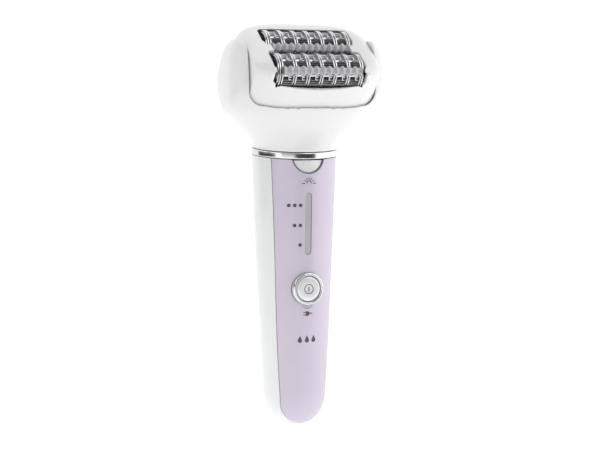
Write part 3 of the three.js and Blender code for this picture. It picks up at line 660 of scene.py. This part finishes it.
head_cap = head_shell("head_cap_moulding")
cut(head_cap, [
    block("below", 50, -50, 50, -60, HEAD_SPLIT),
    block("rear_window", 20.2, 4.4, 13.6, 8, 25, 1.2),
    block("prong_gap", 17.3, -1.9, 4.5, 8, 25, 0.3),
    block("front_window", 20.2, -12.3, -1.8, 8, 25, 1.2),
    block("front_gap", 17.3, -24, -12.2, 12, 25, 0.3),
    column("lower_slot", slot_outline, -24, -11),
    lying("rear_room", DISC_RADIUS + 0.4, 19.3, ROTOR_SPREAD, ROTOR_HEIGHT),
    lying("front_room", DISC_RADIUS + 0.4, 19.3, -ROTOR_SPREAD, ROTOR_HEIGHT),
    lying("pivot_hole", 2.48, 35, 0, 0),
])
for side in (-1, 1):
    root = block("prong_root", 0.8, -14.6, -12.4, 7.5, 13.2, 0.3)
    root.data.transform(Matrix.Translation(Vector((side * 21.1, 0, 0)) * MM))
    cut(head_cap, [root], "UNION")
head_cap = moulded(head_cap, 0.24, 6, 0.4)
head_cap.data.transform(head_place)
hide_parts("head_cap")
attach(head_cap, "head")

# ---- head base ----
# The lower shell of the head, a round trough that turns inside the cradle and carries the motor.
head_base = head_shell("head_base_moulding")
cut(head_base, [block("above", 50, -50, 50, HEAD_SPLIT - 0.3, 60), block("wire_slot", 4, -5, 1, -20, -12)])
head_base = moulded(head_base, 0.42, 2, 0.8)
head_base.data.transform(head_place)
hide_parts("head_base")
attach(head_base, "head")

# ---- power button ----
# A silver push button in a polished chrome bezel. The bezel is pressed into the panel;
# the cap is a turned disc, dished by a hair, with a soft rim.
BUTTON_Y = -handle_half(BUTTON_Z) * DEPTH_SHARE


def turned(name, profile, material, count=96, sharp=50):
    """A profile of (radius, height off the panel) spun round the button's axis."""
    rows = []
    for radius, out in profile:
        reach = max(radius, 0.01)
        rows.append([(reach * math.cos(2 * math.pi * k / count), BUTTON_Y - out,
                      BUTTON_Z + reach * math.sin(2 * math.pi * k / count)) for k in range(count)])
    return built(name, *skin(rows, True, profile[0] != profile[-1]), material, sharp)


bezel = turned("button_bezel_plated",
               [(5.5, -2.6), (6.88, -2.6), (6.9, 0.5), (6.84, 0.85), (6.6, 1.2), (6.3, 1.38),
                (6.0, 1.4), (5.75, 1.3), (5.58, 1.05), (5.5, 0.7), (5.5, -2.6)], chrome)
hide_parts("button_bezel")
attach(bezel, "handle")
silver = finish("button_silver", (0.88, 0.885, 0.895), 0.3, metallic=0.35, drift=0.01, grain=1800, bump=0.006,
                coat=0.2)
power_button = turned("power_button_cap", [(0, -2.4), (5.22, -2.4), (5.25, 0.6), (5.18, 0.95), (4.95, 1.2),
                                           (4.6, 1.34), (4.1, 1.42), (2.5, 1.36), (0, 1.3)], silver)
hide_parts("power_button")
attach(power_button, "button")

# ---- guard bars ----
# Two satin grey strips that lie along the rotors and press the skin flat. Each is moulded with
# scalloped edges, one scallop a bay, and a bulged face.
GUARD_HALF = 17.0
GUARD_REACH = 8.0
guard_grey = finish("guard_satin", (0.50, 0.50, 0.515), 0.36, metallic=0.35, drift=0.03, bump=0.03, coat=0.1)
for name, side in (("rear", 1), ("front", -1)):
    rows = []
    for k in range(289):
        x = GUARD_HALF * (2 * k / 288 - 1)
        wave = math.cos(2 * math.pi * 12 * x / (2 * GUARD_HALF))
        half = 1.66 + 0.42 * wave
        swell = 0.16 * wave
        rows.append([(x, -0.12, half - 0.12), (x, -0.34 - swell, half * 0.8), (x, -0.42 - swell, half * 0.4),
                     (x, -0.44 - swell, 0), (x, -0.42 - swell, -half * 0.4), (x, -0.34 - swell, -half * 0.8),
                     (x, -0.12, -half + 0.12), (x, 0.1, -half), (x, 0.33, -half + 0.1), (x, 0.33, half - 0.1),
                     (x, 0.1, half)])
    bar = built("guard_bar_moulding_" + name, *skin(rows, True, True), guard_grey, 55)
    bar.data.transform(head_place @ Matrix.Translation(Vector((0, side * ROTOR_SPREAD - GUARD_REACH * 0.8,
                       ROTOR_HEIGHT + GUARD_REACH * 0.6)) * MM) @ Matrix.Rotation(-HEAD_LEAN, 4, "X"))
    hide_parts("guard_bar_" + name)
    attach(bar, "head")

# ---- rotors ----
# Each rotor is a grey spool with seven double discs of bright steel. Between the discs lie thin
# steel slats and small curled leaf springs; five notches round each disc let the tweezers through.
# The webs inside the disc rims and the slats take a darker copy of the steel: painted shade deep in the
# rotor.
DISC_PITCH = 5.86
DISC_COUNT = 7
ROWS = 5
steel = finish("bright_steel", (0.80, 0.80, 0.81), 0.17, metallic=1.0, drift=0.05, grain=500, bump=0.015)
# A darker copy of the bright steel: painted shade for the disc webs and the slats between the discs.
shaded_steel = finish("steel_painted_shade", (0.42, 0.42, 0.43), 0.32, metallic=0.9, drift=0.08, grain=700, bump=0.02)
spool_grey = finish("spool_grey", (0.13, 0.13, 0.14), 0.45, metallic=0.3, drift=0.08)


def ringed_array(name):
    """Nodes that repeat a unit in equal steps along X and in equal turns round X."""
    tree = bpy.data.node_groups.new(name, "GeometryNodeTree")
    face = tree.interface
    face.new_socket("Geometry", in_out="INPUT", socket_type="NodeSocketGeometry")
    for label, kind in (("Count", "NodeSocketInt"), ("Pitch", "NodeSocketFloat"), ("Rows", "NodeSocketInt"),
                        ("Material", "NodeSocketMaterial")):
        face.new_socket(label, in_out="INPUT", socket_type=kind)
    face.new_socket("Geometry", in_out="OUTPUT", socket_type="NodeSocketGeometry")
    new, link = tree.nodes.new, tree.links.new
    given, result = new("NodeGroupInput"), new("NodeGroupOutput")

    def math_node(operation, a, b):
        node = new("ShaderNodeMath")
        node.operation = operation
        for socket, value in zip(node.inputs, (a, b)):
            if isinstance(value, (int, float)):
                socket.default_value = value
            else:
                link(value, socket)
        return node.outputs[0]

    gaps = math_node("SUBTRACT", given.outputs["Count"], 1)
    first = math_node("MULTIPLY", math_node("MULTIPLY", gaps, -0.5), given.outputs["Pitch"])
    step, start = new("ShaderNodeCombineXYZ"), new("ShaderNodeCombineXYZ")
    link(given.outputs["Pitch"], step.inputs["X"])
    link(first, start.inputs["X"])
    line = new("GeometryNodeMeshLine")
    link(given.outputs["Count"], line.inputs["Count"])
    link(step.outputs[0], line.inputs["Offset"])
    link(start.outputs[0], line.inputs["Start Location"])
    along_x = new("GeometryNodeInstanceOnPoints")
    link(line.outputs[0], along_x.inputs["Points"])
    link(given.outputs["Geometry"], along_x.inputs["Instance"])
    hub = new("GeometryNodeMeshLine")
    hub.inputs["Offset"].default_value = (0, 0, 0)
    link(given.outputs["Rows"], hub.inputs["Count"])
    index = new("GeometryNodeInputIndex")
    share = math_node("DIVIDE", index.outputs[0], given.outputs["Rows"])
    turn = new("ShaderNodeCombineXYZ")
    link(math_node("MULTIPLY", share, 2 * math.pi), turn.inputs["X"])
    around = new("GeometryNodeInstanceOnPoints")
    link(hub.outputs[0], around.inputs["Points"])
    link(along_x.outputs[0], around.inputs["Instance"])
    link(turn.outputs[0], around.inputs["Rotation"])
    real, paint = new("GeometryNodeRealizeInstances"), new("GeometryNodeSetMaterial")
    link(around.outputs[0], real.inputs[0])
    link(real.outputs[0], paint.inputs["Geometry"])
    link(given.outputs["Material"], paint.inputs["Material"])
    link(paint.outputs[0], result.inputs[0])
    return tree


ring_tree = ringed_array("steps_and_turns")


def repeated(unit, count, pitch, rows, material):
    """The unit repeated by the tree, as one plain mesh object; the unit is used up."""
    step = unit.modifiers.new("repeat", "NODES")
    step.node_group = ring_tree
    values = {"Count": count, "Pitch": pitch * MM, "Rows": rows, "Material": material}
    for item in ring_tree.interface.items_tree:
        if item.in_out == "INPUT" and item.name in values:
            step[item.identifier] = values[item.name]
    bpy.context.view_layer.update()
    mesh = bpy.data.meshes.new_from_object(unit.evaluated_get(bpy.context.evaluated_depsgraph_get()))
    unit.modifiers.clear()
    unit.data = mesh
    return unit


def joined(name, parts):
    """Several objects as one, each keeping its own material."""
    work = bmesh.new()
    materials = []
    for part in parts:
        for m in part.data.materials:
            if m not in materials:
                materials.append(m)
        slots = [materials.index(m) for m in part.data.materials]
        start = len(work.faces)
        work.from_mesh(part.data)
        work.faces.ensure_lookup_table()
        for face in work.faces[start:]:
            face.material_index = slots[min(face.material_index, len(slots) - 1)]
        bpy.data.objects.remove(part)
    mesh = bpy.data.meshes.new(name)
    work.to_mesh(mesh)
    work.free()
    for m in materials:
        mesh.materials.append(m)
    mesh.shade_smooth()
    mesh.set_sharp_from_angle(angle=math.radians(40))
    piece = bpy.data.objects.new(name, mesh)
    bpy.context.scene.collection.objects.link(piece)
    return piece


def notched_disc(radius, floor, notch_half):
    """The outline of a disc with a notch for each row, in Y and Z, the first notch upwards."""
    outline = []
    edge = math.asin(notch_half / radius)
    for k in range(ROWS):
        middle = math.pi / 2 + 2 * math.pi * k / ROWS
        c, s = math.cos(middle), math.sin(middle)
        outline.append((floor * c + notch_half * s, floor * s - notch_half * c))
        outline.append((floor * c - notch_half * s, floor * s + notch_half * c))
        for j in range(10):
            a = middle + edge + (2 * math.pi / ROWS - 2 * edge) * j / 9
            outline.append((radius * math.cos(a), radius * math.sin(a)))
    return outline


def disc_plate(name, x, thick):
    """One disc: a closed bright rim, and inside it a web with a notch for each tweezer bar; the web takes the
    darker steel, painted shade.
    """
    rim = []
    for at, radius in ((-thick / 2, 6.05), (-thick / 2, DISC_RADIUS - 0.2),
                       (-thick * 0.25, DISC_RADIUS - 0.02), (thick * 0.25, DISC_RADIUS - 0.02),
                       (thick / 2, DISC_RADIUS - 0.2), (thick / 2, 6.05), (-thick / 2, 6.05)):
        rim.append([(x + at, radius * math.cos(math.pi * k / 32), radius * math.sin(math.pi * k / 32))
                    for k in range(64)])
    web = notched_disc(6.07, 4.0, 0.95)
    web_rows = [[(x + at, y, z) for y, z in web] for at in (-thick * 0.4, thick * 0.4)]
    return joined(name, [
        built(name + "_rim", *skin(rim, True), steel, 40),
        built(name + "_web", *skin(web_rows, True, True), shaded_steel, 40),
    ])


def tube(name, stations, material, count=48):
    turns = [2 * math.pi * k / count for k in range(count)]
    rows = [[(x, r * math.cos(turn), r * math.sin(turn)) for turn in turns] for x, r in stations]
    return built(name, *skin(rows, True, True), material, 40)


def leaf(name, x0, x1, y, z0, z1, thick, material, tip=0.25):
    """A thin steel leaf lying along X, standing outwards from the rotor, with a rounded lip."""
    section = [(y - thick / 2, z0), (y - thick / 2, z1 - tip), (y - thick / 3, z1 - tip * 0.3), (y, z1),
               (y + thick / 3, z1 - tip * 0.3), (y + thick / 2, z1 - tip), (y + thick / 2, z0)]
    rows = [[(x, a, b if b <= z0 else b - drop) for a, b in section]
            for x, drop in ((x0, 0.12), (x0 + 0.1, 0.0), (x1 - 0.1, 0.0), (x1, 0.12))]
    return built(name, *skin(rows, True, True), material, 50)


def curl(name, x, y, z, radius, wire):
    """A small leaf spring bent to a C, open towards the disc."""
    rows = []
    for k in range(9):
        a = math.radians(50 + 260 * k / 8)
        across = Vector((math.cos(a), math.sin(a), 0))
        centre = Vector((x, y, z)) + across * radius
        rows.append([tuple(centre + across * u + Vector((0, 0, v)))
                     for u, v in ((-wire, -0.3), (wire, -0.3), (wire, 0.3), (-wire, 0.3))])
    return built(name, *skin(rows, True, True), steel, 50)


def turned_by(piece, degrees):
    piece.data.transform(Matrix.Rotation(math.radians(degrees), 4, "X"))
    return piece


for name, side in (("rear", 1), ("front", -1)):
    spool = tube(name + "_spool",
                 [(-20.9, 0.8), (-20.9, 1.48), (-18.45, 1.5), (-18.4, 3.2), (18.4, 3.2), (18.45, 1.5),
                  (20.9, 1.48), (20.95, 0.9), (24.9, 0.88), (25.0, 0.7)], spool_grey)
    discs = [repeated(disc_plate(name + "_plate", x, 0.5), DISC_COUNT, DISC_PITCH, 1, steel)
             for x in (-0.5, 0.5)]
    collar = tube(name + "_collar", [(-1.1, 3.3), (-1.0, 4.6), (1.0, 4.6), (1.1, 3.3)], spool_grey, 40)
    collars = repeated(collar, DISC_COUNT, DISC_PITCH, 1, spool_grey)
    slats = []
    # The slats take the darker steel, painted shade between the discs.
    for degrees, high in ((-52, 6.3), (-43, 6.55), (-34, 6.7), (-25, 6.55), (-18, 6.2)):
        unit = leaf(name + "_slat", -2.3, 2.3, 0, 3.0, high, 0.34, shaded_steel)
        slats.append(repeated(turned_by(unit, degrees), DISC_COUNT - 1, DISC_PITCH, ROWS, shaded_steel))
    curls = []
    for x, degrees in ((-1.2, -10), (1.2, 10)):
        unit = curl(name + "_curl", x, 0, 6.2, 0.62, 0.13)
        curls.append(repeated(turned_by(unit, degrees), DISC_COUNT - 1, DISC_PITCH, ROWS, steel))
    rotor = joined(name + "_rotor_assembly", [spool, collars] + discs + slats + curls)
    rotor.data.transform(head_place @ Matrix.Translation(Vector((0, side * ROTOR_SPREAD, ROTOR_HEIGHT)) * MM))
    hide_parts(name + "_rotor")
    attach(rotor, name + "_rotor_body")

# ---- tweezer combs ----
# The moving tweezers of one rotor: five bars in the notches, held by a ring at the left end,
# each with a thin bright tooth in every bay that closes on its neighbour.
for name, side in (("rear", 1), ("front", -1)):
    turns = [2 * math.pi * k / 60 for k in range(60)]
    ring_rows = [[(x, r * math.cos(turn), r * math.sin(turn)) for turn in turns]
                 for x, r in ((-18.95, 4.3), (-18.95, 6.45), (-18.9, 6.5), (-18.6, 6.5),
                              (-18.55, 6.45), (-18.55, 4.3), (-18.95, 4.3))]
    ring = built(name + "_comb_ring", *skin(ring_rows, True), steel, 50)
    bars = repeated(leaf(name + "_comb_bar", -18.75, 18.0, 0, 4.4, 5.6, 1.3, steel), 1, 1.0, ROWS, steel)
    tooth = leaf(name + "_tooth", 0.15, 0.65, 0, 5.4, 6.9, 1.3, steel, 0.5)
    teeth = repeated(tooth, DISC_COUNT - 1, DISC_PITCH, ROWS, steel)
    comb = joined(name + "_tweezer_comb", [ring, bars, teeth])
    comb.data.transform(head_place @ Matrix.Translation(Vector((0, side * ROTOR_SPREAD, ROTOR_HEIGHT)) * MM))
    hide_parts(name + "_tweezers")
    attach(comb, name + "_tweezer_body")

# ---- printed marks ----
# Plum-grey marks printed on the panel: the working light, the three speeds, the charge plug and
# a small sign for use in water. Each is a skin of ink that follows the panel.
ink = finish("printed_ink", (0.085, 0.075, 0.095), 0.5, drift=0.06, bump=0.03)


def bar(x, z, width, height, lean=0.0):
    c, s = math.cos(lean), math.sin(lean)
    return [(x + c * u - s * v, z + s * u + c * v)
            for u, v in ((-width / 2, -height / 2), (width / 2, -height / 2), (width / 2, height / 2),
                         (-width / 2, height / 2))]


def arc_band(radius, thick, x, z, start, turn, count=24):
    outer = circle(radius + thick / 2, x, z, count, start, turn)
    inner = circle(radius - thick / 2, x, z, count, start, turn)
    return outer + inner[::-1]


def printed(name, outlines, low, high):
    columns = joined(name + "_outlines", [column(name + "_outline", outline) for outline in outlines])
    piece = panel_patch(name + "_skin", low, high, 0.05, lambda z: 9.6, 40, 24, ink, False)
    wall = piece.modifiers.new("wall", "SOLIDIFY")
    wall.thickness = 0.12 * MM
    wall.offset = -1
    settled(piece)
    cut(piece, [columns], "INTERSECT")
    mesh = piece.data
    bpy.data.objects.remove(piece)
    piece = finished(name, mesh, ink, 40)
    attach(piece, "handle")


SUN_Z = 106.3
rays = [bar(1.95 * math.cos(a), SUN_Z + 1.95 * math.sin(a), 0.95, 0.3, a)
        for a in (math.radians(d) for d in (32, 61, 90, 119, 148))]
printed("light_mark", [arc_band(1.0, 0.34, 0, SUN_Z, 0, math.pi), bar(-2.45, SUN_Z, 1.5, 0.34),
                       bar(2.45, SUN_Z, 1.5, 0.34)] + rays, 105.5, 109.4)
printed("speed_three_mark", [circle(0.75, x, 97.2, 32) for x in (-3.6, -5.95, -8.3)], 96, 98.4)
printed("speed_two_mark", [circle(0.75, x, 88.8, 32) for x in (-3.6, -5.95)], 87.6, 90)
printed("speed_one_mark", [circle(0.75, -3.6, 80.6, 32)], 79.4, 81.8)
plug = [(-0.7, -1.0), (0.3, -1.0), (1.1, -0.35), (1.1, 0.35), (0.3, 1.0), (-0.7, 1.0)]
printed("charge_mark", [[(x, z + 51.4) for x, z in plug], bar(-1.3, 51.9, 1.05, 0.34),
                        bar(-1.3, 50.9, 1.05, 0.34), bar(1.75, 51.4, 1.1, 0.42)], 50, 53)
sign = []
for x in (-3.1, 0.0, 3.1):
    sign.append([(x, 42.0)] + circle(0.95, x, 39.9, 28, math.radians(25), math.radians(-230)))
printed("water_mark", sign, 38.2, 42.6)
power_mark = turned("power_mark", [(1.78, 1.2), (2.1, 1.2), (2.1, 1.39), (1.78, 1.38), (1.78, 1.2)], ink)
stroke = built("power_stroke", *skin([[(x, BUTTON_Y - out, z + BUTTON_Z) for x, z in bar(0, 0, 0.36, 1.9)]
                                      for out in (1.2, 1.41)], True, True), ink, 40)
for piece in (power_mark, stroke):
    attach(piece, "button")

# ---- finishes of the CAD pieces that stay ----
# The inner parts keep their CAD shapes and get the finish of what they are made of: plated
# steel, turned brass, moulded nylon, rubber, green laminate, a wrapped cell and clear LEDs.
inner_finishes = {
    "chrome": chrome,
    "lens": smoke,
    "lamp_lens": silver_window,
    "button": silver,
    "panel": pearl,
    "shell": gloss_shell,
    "white": white_gloss,
    "guard": guard_grey,
    "rotor": spool_grey,
    "blade": steel,
    "steel": finish("brushed_steel", (0.56, 0.57, 0.58), 0.3, metallic=1.0, drift=0.06, grain=1500, bump=0.03,
                    stretch=(0.1, 1, 1)),
    "brass": finish("turned_brass", (0.72, 0.55, 0.27), 0.28, metallic=1.0, drift=0.06, grain=1200,
                    bump=0.02),
    "nylon": finish("natural_nylon", (0.74, 0.73, 0.68), 0.5, drift=0.04, bump=0.04),
    "rubber": finish("black_rubber", (0.035, 0.035, 0.037), 0.7, drift=0.12, grain=2500, bump=0.1),
    "board": finish("green_laminate", (0.03, 0.17, 0.07), 0.35, drift=0.2, grain=1800, bump=0.05, coat=0.3),
    "cell": finish("cell_wrap", (0.10, 0.22, 0.42), 0.35, drift=0.05, bump=0.03, coat=0.2),
    "lamp_chip": finish("led_phosphor", (0.86, 0.80, 0.42), 0.35, drift=0.05, bump=0.02, coat=0.4),
}
for node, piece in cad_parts.items():
    for holder in piece.material_slots:
        holder.material = inner_finishes[holder.material.name.split(".")[0]]
